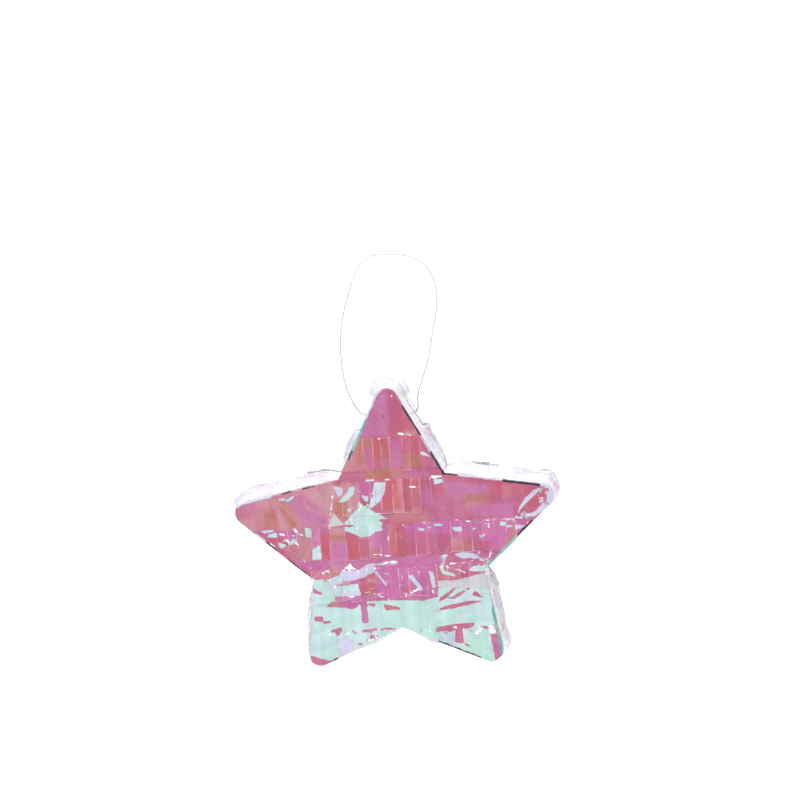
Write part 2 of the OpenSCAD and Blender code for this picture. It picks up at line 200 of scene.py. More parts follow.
AREAS = [
    # top point
    ("violet", [(-9, 80), (1, 81), (0, 58), (-16, 58)]),
    ("rose", [(1, 80), (6, 77), (14, 60), (2, 58)]),
    ("tan", [(-15.5, 57), (-8.5, 57), (-8.5, 45), (-17, 43)]),
    ("orange", [(-8.5, 57), (-1, 56.5), (0, 46), (-8.5, 47)]),
    ("magenta", [(-13, 52), (-9, 52), (-9, 41.5), (-12, 41.5)]),
    ("rose", [(0.3, 57), (10, 57), (15.2, 54), (15.2, 48), (6.6, 48)]),
    ("magenta", [(0.5, 55.5), (6.5, 55.5), (6.5, 51), (0.5, 51)]),
    ("violet", [(0.2, 51), (6.3, 50.5), (6.3, 42), (0.2, 42)]),
    ("tan", [(6.7, 48), (15.3, 47.5), (15.3, 41.2), (6.7, 41.2)]),
    ("pink", [(15.6, 50), (20, 47), (25, 41), (15.6, 41)]),
    ("mint", [(13.5, 48.2), (17, 48.6), (20.8, 46.2), (20.5, 45.8), (16.5, 46.9)]),
    ("tan", [(-14, 41), (0, 41), (0, 36), (-13, 36)]),
    ("pink", [(-25, 41), (-14, 41), (-13, 36), (-26, 36)]),
    ("salmon", [(0, 41), (7, 41), (9, 36), (0, 36)]),
    ("white", [(4.8, 58.9), (8.7, 58.7), (8.7, 57.9), (4.8, 58.1)]),
    ("pale", [(8.7, 58.4), (13, 58), (13, 57.5), (8.7, 57.9)]),
    ("white", [(1.4, 79.4), (3.6, 78), (3, 76.6)]),
    ("white", [(-2.8, 77.3), (-1, 78.5), (-1.4, 77.7)]),
    # left arm
    ("pale_rose", [(-80, 30), (-30, 37), (-30, 13), (-80, 13)]),
    ("pink", [(-82, 26), (-70, 28), (-70, 20), (-82, 19)]),
    ("salmon", [(-73, 22), (-62, 28), (-58, 14), (-70, 12)]),
    ("tan", [(-66, 23), (-61, 24), (-59, 14), (-67, 14)]),
    ("violet", [(-55, 29), (-45, 31), (-35, 20), (-34, 14), (-46, 14)]),
    ("pale_rose", [(-46, 31), (-30, 36), (-31, 20), (-41, 26)]),
    ("tan", [(-60.5, 29), (-56.5, 29), (-46.5, 14.5), (-54, 14)]),
    ("tan", [(-45, 26), (-43.5, 26), (-39, 21), (-40.5, 21)]),
    ("mint", [(-55, 28), (-50.4, 30.3), (-50.4, 28.8), (-54, 27.2)]),
    ("pale", [(-59, 28.8), (-55, 29.3), (-54.5, 28), (-58, 28)]),
    ("rose", [(-70, 13), (-60, 13), (-50, -8), (-70, -5)]),
    ("violet", [(-60, 13), (-50, 13), (-50, 8.2), (-59, 9)]),
    ("salmon", [(-58, 4), (-51, 5), (-48, -1), (-53, -4)]),
    ("mint", [(-65, 11), (-60.5, 12), (-60.4, 9.2), (-65.5, 9.4)]),
    ("pale", [(-69, 13), (-62, 13.4), (-62, 12), (-67, 11.6)]),
    ("mint", [(-55.5, 7.6), (-51, 8.1), (-51, 5.4), (-54.8, 4.6)]),
    ("mint", [(-60, 6.4), (-55.4, 5), (-59.6, 3.1)]),
    ("white", [(-52, 13), (-49.2, 9.8), (-46.6, 9.3), (-49, 10.6), (-51, 13.2)]),
    ("mint", [(-46, 13.1), (-42.8, 12.9), (-43, 8.2), (-45.8, 8.6)]),
    ("violet", [(-42.9, 12.5), (-39, 12.5), (-38.8, 4), (-42.8, 2.4)]),
    ("mint", [(-43, 1.9), (-39, 4), (-38.7, -3.4), (-43.3, -3.2)]),
    ("magenta", [(-38.2, 12.4), (-33.8, 12.4), (-34, 9), (-38.3, 9.2)]),
    ("orange", [(-38.4, 9), (-33.8, 9), (-33.9, -4), (-38.6, -4)]),
    ("tan", [(-33.4, 8.8), (-25.5, 8.8), (-25.5, 5), (-33.4, 5)]),
    ("magenta", [(-33.4, 4.6), (-25.5, 4.6), (-25.5, -4), (-33.4, -4)]),
    ("orange", [(-25.1, 8), (-19.1, 7), (-19.1, -4), (-25.1, -4)]),
    ("rose", [(-18.8, 6), (-13.5, 6), (-13.5, -4), (-18.8, -4)]),
    ("tan", [(-13.2, 0), (-10, 1), (-10, -3.8), (-13.2, -3.6)]),
    ("violet", [(-13.2, 9), (-8.2, 9), (-8.2, 1), (-13, 1)]),
    # middle, with its splash of turned-over film, its mint a painted reflection
    ("magenta", [(-20, 35), (0, 35), (0, 26), (-20, 26)]),
    ("orange", [(-6, 35), (3, 35), (4.5, 20), (-5, 20)]),
    ("rose", [(4.6, 35), (14, 35), (14, 20), (4.6, 20)]),
    ("magenta", [(14.2, 29), (19.3, 30), (19.3, 20), (14.2, 20)]),
    ("rose", [(19.6, 34), (26, 34), (26, 20), (19.6, 20)]),
    ("pale_rose", [(-31, 34), (-17, 34), (-17, 21), (-25, 13.2), (-34, 13.2)]),
    ("tan", [(-30.5, 26), (-23.5, 26), (-24, 14), (-31, 20)]),
    ("grey", [(-34, 13), (-30.8, 20), (-26, 13.6)]),
    ("pale", [(-31, 34), (-25, 32.6), (-25.6, 30), (-27.6, 28), (-29.6, 32.6)]),
    ("mint", [(-28.7, 24.8), (-23.8, 29.4), (-21.3, 33.2), (-18.5, 32.8), (-20.3, 28.7), (-24, 25.6)]),
    ("mint", [(-26.5, 14), (-23, 17), (-18.5, 22), (-17.8, 25.8), (-16.3, 23.8), (-12, 20.5), (-7.5, 17.7),
              (-3.3, 15.4), (-10, 15.5), (-5.6, 13.3), (-7, 12), (-6.3, 9.5), (-10.5, 9.3), (-12.5, 7.4),
              (-17.2, 6.7), (-22, 8.9), (-25.6, 10.5), (-25.6, 12.6), (-20.8, 13.3)]),
    ("mint", [(-24.5, 21.4), (-20.4, 22.5), (-22.3, 20)]),
    ("rose", [(-25, 13.2), (-21, 13), (-20.6, 12.3), (-24.4, 12.3)]),
    ("mint", [(-3.2, 34.5), (-4, 29.6), (-6.5, 25.3), (-9.5, 22.2), (-12.6, 21.2), (-11.8, 24.6),
              (-10.3, 28.5), (-8.9, 34.2)]),
    ("pale", [(-3.1, 34.4), (-3.8, 29.6), (-6.3, 25.2), (-9.5, 22), (-8.4, 27), (-6.4, 31)]),
    ("mint", [(-13, 36.2), (-9, 36.2), (-9, 35), (-13.5, 34.8)]),
    ("pale", [(-16, 28.5), (-12.4, 27.5), (-13, 24.5), (-14.4, 25.5)]),
    ("white", [(-4, 35.4), (-0.2, 36.4), (-1.8, 35)]),
    # right arm
    ("salmon", [(-2, 19.2), (17, 19.2), (17, 13), (-3, 13)]),
    ("pink", [(17, 26), (36, 29), (36, 13), (17, 13)]),
    ("violet", [(26, 34), (47, 31), (49, 26), (28, 25)]),
    ("rose", [(28, 36), (60, 31), (60, 28), (28, 33)]),
    ("tan", [(37, 26), (49, 24), (49, 21), (36, 22)]),
    ("salmon", [(55, 29), (68, 30), (66, 23), (56, 22)]),
    ("tan", [(60.5, 28), (66, 28), (64, 23), (60.5, 24)]),
    ("violet", [(38, 19), (60, 20), (60, 13), (40, 13)]),
    ("rose", [(60, 29), (80, 29), (75, 14), (61, 11)]),
    ("magenta", [(0, 12.5), (30, 12.5), (28, 5), (0, 3)]),
    ("orange", [(-1, 12.4), (4.3, 12.4), (4.3, -4), (-4, -4)]),
    ("rose", [(4.6, 8), (27.8, 6), (27.8, -4), (4.6, -4)]),
    ("magenta", [(28.2, 12.5), (61, 11), (50, -8), (38.6, -8), (38.6, 3), (28.2, 4)]),
    ("tan", [(30, -2.5), (38, 3), (38, -1), (34, -3.4), (30, -4)]),
    ("rose", [(39, 1), (49, 1), (46, -6), (39, -5)]),
    ("mint", [(21, 34.3), (25.6, 34.2), (25.8, 32.5), (22.4, 31.4), (21.2, 31.3)]),
    ("white", [(19.8, 36.2), (25.8, 35.8), (25.6, 34.9), (20, 35)]),
    ("mint", [(13.2, 12.8), (15.4, 12.7), (15.6, 11.8), (13.3, 11.9)]),
    ("mint", [(11.8, 9.7), (14, 9.6), (15, 8.8), (13.6, 8.1), (12, 8.6)]),
    ("pale", [(16, 10.1), (18.3, 10.1), (18.5, 9.3), (16.2, 9.2)]),
    ("mint", [(19.8, 11.4), (24.2, 11.1), (24.4, 10.2), (20, 10.1)]),
    ("mint", [(28.4, 8.9), (33.4, 9.1), (33.4, 6.7), (30.6, 6.9)]),
    ("mint", [(41.6, 5), (43, 4), (46.2, 5.8), (46.2, 4.7), (42.9, 2.5)]),
    ("mint", [(52.4, 8.6), (53.3, 10.6), (56.8, 10.1), (54.6, 8.2)]),
    ("mint", [(55.6, 8.6), (60, 8.4), (59.2, 7.3), (56.8, 7.4)]),
    ("pale", [(54, 11.6), (60, 12.4), (60, 11.4), (57, 10.8)]),
    ("mint", [(60.8, 12.9), (65.4, 12.4), (64.4, 11.4), (61, 11.9)]),
    ("pale", [(60.5, 8.4), (66, 8), (63, 6.2), (60.8, 5.8)]),
    ("pale", [(61.8, 14), (63.3, 17.5), (67, 22.3), (71.3, 25.7), (75.2, 26.5), (71.8, 23.3), (67.2, 19.3)]),
    ("pale", [(65.5, 13.6), (70.5, 14.6), (75, 18.2), (78.6, 18), (74, 14), (70.5, 12.2), (66, 12.3)]),
    ("pale", [(72.5, 18.6), (77, 24.5), (76.6, 26.8), (80.6, 26), (82, 21), (79, 17.8), (77.5, 20)]),
    ("violet", [(74.6, 20.5), (77.8, 24), (77, 20)]),
    ("rose", [(75.5, 26.2), (79, 26), (78.2, 24.6)]),
    ("white", [(72.4, 22.6), (73.8, 23.6), (73.2, 22)]),
    # the bright band below the middle, a painted reflection
    ("violet", [(-34, -4.4), (26, -4.4), (26, -9), (-30, -9.5)]),
    ("magenta", [(-52, -4.4), (-34, -4.4), (-34, -10), (-44, -10)]),
    ("salmon", [(-44, -9), (-30, -9), (-31, -13), (-43, -14)]),
    ("pink", [(24, -4.4), (44, -4.4), (44, -13), (27, -15.5), (22, -10)]),
    ("mint", [(-46, -14), (-33, -14), (-30, -18), (-21, -17), (-20.5, -21), (-20, -26), (-12, -26.7),
              (0, -26.9), (12, -28), (19.4, -26), (19.4, -21.5), (46, -23), (55, -66), (-55, -66)]),
    ("pale", [(-36, -14), (-30, -12), (-30, -17), (-37, -17.5)]),
    ("pale", [(-32, -14.5), (-28.5, -9.7), (-20.5, -10.4), (-15, -7.3), (0, -6.6), (0, -7.8), (-10, -11.6),
              (-16, -13.6), (-30, -16.6)]),
    ("mint", [(-15, -8.9), (-6, -6.9), (0, -6.5), (0, -7.9), (-8, -9)]),
    ("white", [(-28.6, -9.6), (-25.6, -7.6), (-24.2, -6.3), (-23.2, -8.4), (-20.4, -10.4), (-24, -9.3)]),
    ("white", [(-7, -6.8), (0, -6.2), (0, -6.9), (-7, -7.5)]),
    ("pink", [(-45, -17.4), (-41.5, -19.6), (-39.3, -20.2), (-40, -22), (-44.5, -20.5)]),
    ("pale", [(-35.5, -17.6), (-29.5, -18), (-29, -20.5), (-20, -21.4), (-20, -23.2), (-30, -24.2),
              (-35, -22)]),
    ("violet", [(-33, -23), (-12, -24), (-11.6, -26.8), (-34, -25.4)]),
    ("orange", [(-17.5, -13.6), (-11.5, -11), (-11, -15.6)]),
    ("orange", [(-20.6, -20), (-18, -15.6), (-11.5, -17.5), (-11, -23.2), (-19.6, -22.4)]),
    ("magenta", [(-11.8, -8), (19.4, -8.5), (19.4, -26.5), (-11.8, -26.7)]),
    ("violet", [(-11, -10), (-4.6, -9), (-4.6, -17.3), (-11.4, -17.4)]),
    ("violet", [(5, -12), (9.8, -11), (9.8, -21), (4, -19)]),
    ("pink", [(14.2, -11), (19.2, -11), (19.2, -24), (14.2, -24)]),
    ("magenta", [(-11.4, -17.4), (-4.5, -17.4), (-4.5, -24.9), (-11.5, -24.9)]),
    ("orange", [(0.6, -20.5), (5.5, -20.2), (5, -24), (1.5, -23.5)]),
    ("magenta", [(9.6, -23.5), (16.2, -24.4), (18, -26.8), (9.8, -27.2)]),
    ("pale", [(-12, -11.8), (-10.9, -11.8), (-5.6, -19.6), (-6.6, -19.6)]),
    ("pale", [(4.6, -14.6), (6.8, -14), (12, -21.8), (10.6, -22.8)]),
    ("pale", [(15.4, -13), (17.6, -13), (18.6, -21), (16.6, -22)]),
    ("white", [(4.9, -24.2), (5.4, -22.9), (9.7, -21), (9.5, -22)]),
    ("white", [(9.9, -12.6), (10.6, -12.6), (10.7, -15.8), (10, -15.8)]),
    ("grey", [(19.4, -18.1), (19.2, -21.5), (45.5, -23.4), (46.2, -15.6), (40, -15.8), (34, -17.2),
              (29, -18.2)]),
    ("salmon", [(19.6, -14.6), (24, -15), (29, -16.2), (28.4, -17.4), (19.4, -17.2)]),
    ("mint", [(24.8, -6.2), (22, -9), (21.3, -12), (22, -14.6), (26, -15.6), (29.6, -16.6), (28, -14.6),
              (24, -13.4), (22.9, -11.6), (23.2, -9.2)]),
    ("pale", [(28.6, -4.7), (34, -3.9), (38.5, -5), (46, -9.4), (44, -9.6), (37, -7), (33, -7.4)]),
    ("mint", [(35.4, -13.2), (38.4, -11.3), (45.5, -11.2), (46.5, -13.4), (42, -14.4), (38, -14.2)]),
    # lower third, on the mint, a painted reflection
    ("salmon", [(-38.8, -28.4), (-35, -25.5), (-28, -25.4), (-28.6, -29.2)]),
    ("magenta", [(-28.2, -25), (-20, -26.4), (-22.4, -29.4), (-25.2, -30.4), (-28.6, -29)]),
    ("salmon", [(-18.6, -27.6), (-13, -28), (-13.4, -30)]),
    ("violet", [(-20.6, -24), (-17.4, -24), (-17.1, -38), (-20.3, -38)]),
    ("salmon", [(-9, -28.4), (-1, -30.4), (-0.4, -31.8), (-8, -31.7)]),
    ("pink", [(-44.9, -33), (-40.5, -33.2), (-40.2, -35.9), (-44.5, -35.6)]),
    ("rose", [(-40.4, -35.9), (-36, -35.3), (-36.4, -36.8), (-40.4, -37)]),
    ("pink", [(-38.4, -41.2), (-33.4, -39.8), (-31.4, -39), (-30.9, -41.2), (-34.5, -44.6), (-34.6, -41.7)]),
    ("pink", [(-21, -41.4), (-13, -40.6), (-13, -42), (-20.6, -42.8)]),
    ("pink", [(-11.6, -41), (-3.4, -40.7), (-3.6, -41.8), (-11, -42.2)]),
    ("violet", [(-17.2, -44.2), (-12.8, -44.6), (-13, -46.6), (-17, -46)]),
    ("salmon", [(-23.6, -47.6), (-20.8, -48.2), (-21.4, -49.6), (-23.4, -49)]),
    ("rose", [(-29, -52.4), (-26.4, -51.6), (-27, -53.8), (-29.6, -54)]),
    ("pale", [(-34.5, -45), (-26, -46), (-26, -62), (-33, -60)]),
    ("pale", [(-30, -44.3), (-27.8, -44), (-28, -44.9), (-30.3, -45)]),
    ("pink", [(-48.6, -53), (-43, -55), (-36, -57), (-38, -60.4), (-47, -61)]),
    ("pink", [(18.5, -29.6), (20.3, -26.6), (28, -21.8), (28.4, -23), (23, -27.4)]),
    ("salmon", [(24.4, -27.6), (31.5, -24), (36, -22.8), (32.2, -25.4), (27, -28)]),
    ("rose", [(36, -26), (38, -24), (42.6, -28.4), (40, -27.8)]),
    ("pink", [(15, -33.8), (25, -30.7), (35, -29.3), (42, -29.8), (35, -31.3), (25, -32.9)]),
    ("pink", [(16.6, -45), (16.8, -42), (27, -40.9), (36.6, -40.7), (37, -42), (35.5, -43), (30.5, -44),
              (30.6, -51), (27, -51), (27, -44), (19, -44)]),
    ("rose", [(30.7, -50.4), (34.6, -53.6), (30.8, -52)]),
    ("pink", [(39.5, -42.6), (44, -42.8), (44, -44.6), (39.8, -44.2)]),
    ("pale", [(18, -45), (26.4, -44.8), (26.4, -53), (18.4, -50)]),
    ("white", [(44, -44), (48.4, -45.6), (44.4, -47.4)]),
    ("violet", [(44.4, -47.6), (48.6, -47), (50.6, -58), (46, -61)]),
    ("white", [(-13.6, -46.4), (-18, -46.2), (-19.6, -47.2), (-17.4, -47.4)]),
]

# Stretches of the outline where the film's folded edge shows another colour: kind, width, from, to. The pale
# stretches are painted highlights along the fold.
EDGES = [
    ("pale", 1.2, (-3, 82), (-11, 66)), ("teal", 1.7, (-11.3, 66), (-18.6, 52)),
    ("dark", 1.5, (-18.6, 52), (-21, 47)), ("dark", 1.1, (8, 72), (15.4, 57)),
    ("pale", 1.0, (15.8, 56), (20, 48)), ("dark", 2.0, (20.3, 47.5), (26.4, 37)),
    ("dark", 1.0, (28, 36), (34, 35)), ("pale", 0.8, (34, 35), (56, 31.6)),
    ("dark", 1.8, (56, 31.6), (74, 28)), ("pale", 1.6, (75, 28), (80, 18)),
    ("dark", 1.8, (68, 11), (61, 4)), ("teal", 1.6, (60, 3), (46, -11)),
    ("pale", 1.2, (-71, 12), (-66, 8)), ("dark", 1.5, (-66, 8), (-60, 3)),
    ("dark", 0.9, (-56, -1), (-46, -10)), ("teal", 1.6, (46, -34), (51.5, -58)),
    ("dark", 1.0, (49.4, -46), (49.8, -48)), ("dark", 1.2, (18, -50), (38, -60)),
    ("dark", 1.0, (-38, -58.5), (-34, -57)), ("dark", 0.9, (-45, 33), (-40, 34)),
    ("pale", 1.3, (-80, 27), (-62, 29)), ("dark", 0.8, (-56, 29.6), (-51, 31.4)),
]

# Fine marks on the front: kind, width, and the line that it follows. The white marks are painted glints.
STROKES = [
    ("dark", 0.7, [(-1.8, 68.2), (-1.8, 67.6)]), ("dark", 0.6, [(-1.7, 65.4), (-1.8, 64.4)]),
    ("dark", 0.5, [(-24.5, 12.7), (-20.8, 12.9)]), ("dark", 0.6, [(-19.4, 10.4), (-18.8, 10.3)]),
    ("white", 0.8, [(8.5, 31), (11.5, 30.9)]), ("white", 0.6, [(12.8, 30.6), (13.2, 30.6)]),
    ("white", 0.5, [(35.5, 12), (38, 11.6)]), ("white", 0.5, [(44.5, 12), (47.6, 11.7)]),
    ("white", 0.5, [(30, -9), (34.8, -9.3)]), ("white", 0.5, [(23, -11), (31, -13.2), (34, -14.6)]),
    ("white", 0.5, [(-13.5, -22.6), (-11, -24), (-8, -25)]), ("white", 0.4, [(-33.6, 13.2), (-30.2, 31)]),
    ("white", 0.6, [(-3, -3.9), (-10, -2.7), (-12, -2.6)]), ("white", 0.6, [(-4, 4.4), (-3.8, 6.4)]),
    ("white", 0.6, [(-48, -2.6), (-47.4, -4.6)]), ("white", 0.6, [(-44.6, -7.4), (-43.4, -7.2)]),
    ("white", 0.5, [(22.6, -5), (23.8, -6.6)]), ("white", 0.5, [(40, -8), (46, -8.4)]),
    ("white", 0.4, [(22, -46), (24, -44.4)]), ("white", 0.4, [(-32.8, -44.6), (-31.6, -42.8)]),
    ("white", 0.5, [(-6, -9), (-5, -8)]), ("white", 0.5, [(2, -8.6), (2.6, -7.8)]),
    # Painted highlights: light curved streaks on the left arm.
    ("pale_rose", 1.5, [(-60, 27.5), (-55, 24), (-51, 19), (-48, 14.5)]),
    ("pale_rose", 0.9, [(-45.5, 27), (-43, 23), (-39, 21), (-35, 20.5)]),
    ("tan", 0.7, [(-9, 52), (-7.6, 45)]), ("salmon", 0.5, [(3, 33), (3.4, 22)]),
    ("salmon", 0.6, [(8, 33), (8.6, 21)]), ("tan", 0.5, [(12, 31), (12.4, 21)]),
]

# Crumpled parts of the front, where painted highlights of fine folds are scattered: a box's two corners, how
# many of these marks, and their slope in degrees.
CRUMPLES = [
    ((20, -15), (48, -5), 16, 10), ((-46, -25), (-8, -7), 22, 14), ((-66, -1), (-48, 12), 9, -20),
    ((58, 6), (80, 27), 16, 48), ((-40, -48), (-2, -41), 12, 5), ((16, -48), (44, -41), 8, 5),
    ((-11, -26), (20, -9), 10, -60), ((-24, 10), (-4, 33), 10, 50), ((28, 4), (48, 12), 6, 10),
]


def painted_fold_highlights(seed, crumples):
    """Painted highlights and reflections on fine folds, scattered over the crumpled parts."""
    rng = random.Random(seed)
    lines = []
    for low, high, count, slope in crumples:
        for _ in range(count):
            x, z = rng.uniform(low[0], high[0]), rng.uniform(low[1], high[1])
            turn = math.radians(slope + rng.uniform(-35, 35))
            bend, size = rng.uniform(-0.5, 0.5), rng.uniform(1.2, 4.5)
            line = [(x, z)]
            for _ in range(3):
                x, z = x + size / 3 * math.cos(turn), z + size / 3 * math.sin(turn)
                turn += bend
                line.append((x, z))
            lines.append((rng.choice(["white", "white", "pale", "mint"]), rng.uniform(0.4, 0.75), line))
    return lines


def rim_line(start, end):
    """The outline's points between the two nearest to start and end, the short way round."""
    first, last = (int(np.argmin(np.linalg.norm(RIM - np.array(p), axis=1))) for p in (start, end))
    count = len(RIM)
    step = 1 if (last - first) % count < (first - last) % count else -1
    steps = ((last - first) * step) % count
    return [tuple(RIM[(first + step * i) % count]) for i in range(steps + 1)]


def random_areas(seed, count):
    """Patches for a face that the photograph doesn't show, in the style of the front's, with painted
    reflections (the mint and pale ones) and painted glints (the white ones) among them.
    """
    rng = random.Random(seed)
    areas = [(rng.choice(list(TONES)), blob(rng, 12.0, 5)) for _ in range(count)]
    areas.append(("mint", [(-46, -17), (-20, -22), (8, -19), (30, -24), (46, -20), (55, -66), (-55, -66)]))
    for _ in range(count):
        kind = rng.choice(["mint", "mint", "pale", "pink", "rose", "magenta", "violet", "white", "salmon"])
        areas.append((kind, blob(rng, 1.2 if kind == "white" else rng.choice([2.5, 4, 7]), 6)))
    return areas


def blob(rng, size, corners):
    """Angular patch of about that size, somewhere on the star."""
    x, z = rng.uniform(-70, 70), rng.uniform(-58, 75)
    start, flat = rng.uniform(0, math.pi), rng.uniform(0.35, 1.0)
    spokes = [(start + 2 * math.pi * i / corners, size * rng.uniform(0.4, 1.2)) for i in range(corners)]
    return [(x + r * math.cos(a), z + flat * r * math.sin(a)) for a, r in spokes]


def tinted(tone):
    """Colours of the film's pinks, from violet at 0 to tan at 1."""
    steps = np.linspace(0, 1, len(TONE_STEPS))
    return np.stack([np.interp(tone, steps, TONE_STEPS[:, i]) for i in range(3)], 1)


def painted(flat, areas, strokes, tone, soft_edge=0.9):
    """Signed distance to each kind's patches, and the tinted colour, at flat star-plane points."""
    far = {kind: np.full(len(flat), 4.0) for kind in KINDS}
    tint = tinted(tone)
    shapes = [(kind, np.where(inside(flat, np.array(line, float)), -1.0, 1.0)
               * distance_to(flat, np.array(line, float), True)) for kind, line in areas]
    shapes += [(kind, distance_to(flat, np.array(line, float), False) - width / 2)
               for kind, width, line in strokes]
    for kind, distance in shapes:
        for other in KINDS:
            if other == kind:
                far[other] = np.minimum(far[other], distance)
            elif kind != "dark":
                far[other] = np.maximum(far[other], -distance)
        if kind in TONES:
            share = np.clip(0.5 - distance / soft_edge / 2, 0, 1)[:, None]
            tint = tint + 0.8 * share * (np.array(TONES[kind][:3]) - tint)
    return {kind: np.clip(far[kind], -3, 3) for kind in KINDS}, tint


# ---- Meshes ----

def fold(x, z, seed):
    """Sharp folds of crumpled film at a place, from 0 in the hollows to about 1 on the creases."""
    broad = abs(noise.noise(Vector((x / 13.0, z / 10.0, seed))))
    fine = abs(noise.noise(Vector((x / 5.0 + 40.0, z / 4.0, seed + 7.0))))
    return 0.7 * (1.0 - min(1.0, 2.2 * broad)) ** 2 + 0.3 * (1.0 - min(1.0, 2.2 * fine)) ** 2


class Sheet:
    """Film being laid out: its points, flat places, faces and per-point values."""

    def __init__(self):
        self.points = []
        self.flat = []
        self.faces = []
        self.tone = []
        self.shade = []
        self.edge = []

    def add_point(self, point, flat, tone, shade, edge=4.0):
        """Adds a point. edge is how far it is from its tab's own cut edge."""
        self.points.append(point)
        self.flat.append(flat)
        self.tone.append(tone)
        self.shade.append(shade)
        self.edge.append(edge)
        return len(self.points) - 1

    def add_grid(self, rows, columns, maker):
        """Grid of quads. maker(u, v) gives the point, its flat place, tone, shade and edge."""
        first = len(self.points)
        for i in range(rows + 1):
            for j in range(columns + 1):
                self.add_point(*maker(j / columns, i / rows))
        for i in range(rows):
            for j in range(columns):
                a = first + i * (columns + 1) + j
                self.faces.append((a, a + 1, a + columns + 2, a + columns + 1))

    def flat_area(self):
        flat = np.array(self.flat)
        total = 0.0
        for face in self.faces:
            p = flat[list(face)]
            q = np.roll(p, -1, axis=0)
            total += abs(float((p[:, 0] * q[:, 1] - q[:, 0] * p[:, 1]).sum())) / 2
        return total * MM * MM

    def build(self, name, material, areas, strokes, flip=False):
        mesh = bpy.data.meshes.new(name)
        faces = [tuple(reversed(f)) for f in self.faces] if flip else self.faces
        mesh.from_pydata([tuple(p) for p in self.points], [], faces)
        flat = np.array(self.flat)
        fields, tint = painted(flat, areas, strokes, np.array(self.tone))
        fields["tone"] = np.array(self.tone)
        fields["shade"] = np.array(self.shade)
        fields["edge"] = np.array(self.edge)
        for key, values in fields.items():
            mesh.attributes.new(key, "FLOAT", "POINT").data.foreach_set("value", values.astype(np.float32))
        colours = np.hstack([tint, np.ones((len(tint), 1))]).astype(np.float32)
        mesh.attributes.new("tint", "FLOAT_COLOR", "POINT").data.foreach_set("color", colours.ravel())
        mesh.polygons.foreach_set("use_smooth", [True] * len(mesh.polygons))
        sides = np.zeros(len(mesh.loops), dtype=np.int32)
        mesh.loops.foreach_get("edge_index", sides)
        border = np.bincount(sides, minlength=len(mesh.edges)) == 1
        mesh.attributes.new("sharp_edge", "BOOLEAN", "EDGE").data.foreach_set("value", border)
        mesh.materials.append(material)
        piece = bpy.data.objects.new(name, mesh)
        bpy.context.scene.collection.objects.link(piece)
        thick = piece.modifiers.new("thickness", "SOLIDIFY")
        thick.thickness = FILM_T * MM
        thick.offset = 0
        return piece


def region_triangles(low, high, reach, loops, keep):
    """Even triangles over the star between two heights and within reach of its middle."""
    lines = [np.array([(-reach, low), (reach, low)]), np.array([(-reach, high), (reach, high)]),
             np.array([(-reach, low), (-reach, high)]), np.array([(reach, low), (reach, high)])]
    points, edges = [], []
    for line, closed in [(loop, True) for loop in loops] + [(line, False) for line in lines]:
        line = resampled(line, SPACING, closed)
        first = len(points)
        points += [Vector(p) for p in line]
        edges += [(first + i, first + i + 1) for i in range(len(line) - 1)]
        if closed:
            edges.append((first + len(line) - 1, first))
    xs = np.arange(-reach + SPACING / 2, reach, SPACING)
    zs = np.arange(low + SPACING / 2, high, SPACING)
    grid = np.array([(x + (SPACING / 2 if i % 2 else 0), z) for i, z in enumerate(zs) for x in xs])
    near = np.min([distance_to(grid, loop, True) for loop in loops], axis=0)
    points += [Vector(p) for p in grid[(near > SPACING / 2) & keep(grid)]]
    found, _, faces, *_ = delaunay_2d_cdt(points, edges, [], 0, 1e-4)
    found = np.array([(p.x, p.y) for p in found])
    middles = np.array([found[list(f)].mean(0) for f in faces])
    wanted = keep(middles) & (middles[:, 1] > low) & (middles[:, 1] < high) & (abs(middles[:, 0]) < reach)
    return found, [f for f, w in zip(faces, wanted) if w]


class Face:
    """One big face of the star, with the film's rows laid on it. way is -1 at the front and 1 behind."""

    def __init__(self, way, depth, seed, slits, areas, strokes, port):
        self.way = way
        self.depth = depth
        self.seed = seed
        self.slits = slits
        self.areas = areas
        self.strokes = strokes
        self.loops = [OUTLINE, PORT] if port else [OUTLINE]
        self.name = "front" if way < 0 else "back"

    def keep(self, points):
        kept = inside(points, OUTLINE)
        return kept & ~inside(points, PORT) if len(self.loops) > 1 else kept

    def point(self, x, z, stand):
        return place(x, self.depth + self.way * stand, z)

    def header_stand(self, row, x, z):
        """How far row's film stands off the card: more the further down its sheet."""
        down = (row["top"] - z) / (row["top"] - row["end"])
        relief = fold(x, z, self.seed + row["index"])
        edge = 1.0 if row["crumple"] else 0.55
        return 0.12 + 0.3 * max(0.0, down) + edge * 0.55 * relief


def rows_of(face):
    """Each film row's top, slit line, end and reach, with the ends taken from the CAD rows."""
    boxes = [[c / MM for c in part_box(f"{face.name}_film_{i + 1}")] for i in range(5)]
    ends = [box[0].z - CENTRE_Z for box in boxes]
    tops = [boxes[0][1].z - CENTRE_Z] + [end + TUCK for end in ends[:4]]
    tops[2] = boxes[2][1].z - CENTRE_Z
    return [{"index": i, "top": tops[i], "cut": CUT_LINES[i], "end": ends[i],
             "reach": boxes[i][1].x if i == 1 else PAST_STAR, "crumple": i >= 3} for i in range(5)]


def add_header(sheet, face, row):
    """The uncut upper band of a row, cut to the star's outline."""
    found, triangles = region_triangles(row["cut"], row["top"], row["reach"], face.loops, face.keep)
    used = sorted({i for t in triangles for i in t})
    number = {}
    for i in used:
        x, z = found[i]
        tone = 0.42 + 0.3 * noise.noise(Vector((x / 22.0, z / 15.0, face.seed + 3.0)))
        shade = 0.5 + 0.3 * noise.noise(Vector((x / 9.0, z / 6.0, face.seed + 5.0)))
        number[i] = sheet.add_point(face.point(x, z, face.header_stand(row, x, z)), (x, z), tone, shade)
    sheet.faces += [tuple(number[i] for i in t) for t in triangles]


